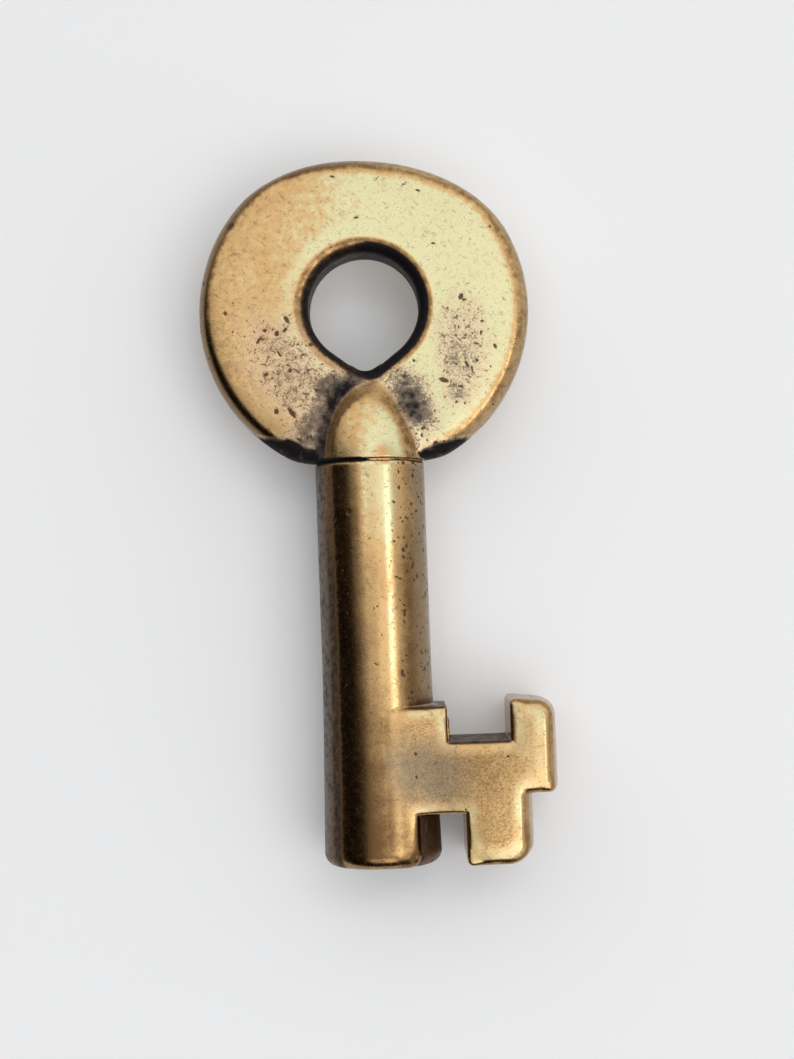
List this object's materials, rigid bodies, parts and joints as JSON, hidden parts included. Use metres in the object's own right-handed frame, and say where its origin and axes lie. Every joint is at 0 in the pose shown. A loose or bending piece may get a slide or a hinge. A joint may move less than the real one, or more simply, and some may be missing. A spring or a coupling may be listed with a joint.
{
  "type": "railroad switch key",
  "caption": "Brass switch key with a round pierced bow, a domed shoulder, a hollow barrel that swells towards its mouth, and a thick notched bit that works the lock.",
  "frame": {"origin": "centre of the barrel's mouth", "axes": "+Y up the barrel to the bow, +X the way the bit reaches, +Z out of the bow's face"},
  "size_m": [0.0293, 0.0605, 0.01],
  "materials": {
    "cast_brass": "old cast brass, worn bright on the high places, with a brown patina in the hollows",
    "turned_brass": "turned brass, rubbed smooth, with a brown patina and fine pits",
    "braze": "dull brown brazing filler"
  },
  "bodies": {
    "root": {"bow": "cast_brass", "shoulder_braze": "braze", "barrel": "turned_brass", "bit": "cast_brass"}
  },
  "joints": []
}
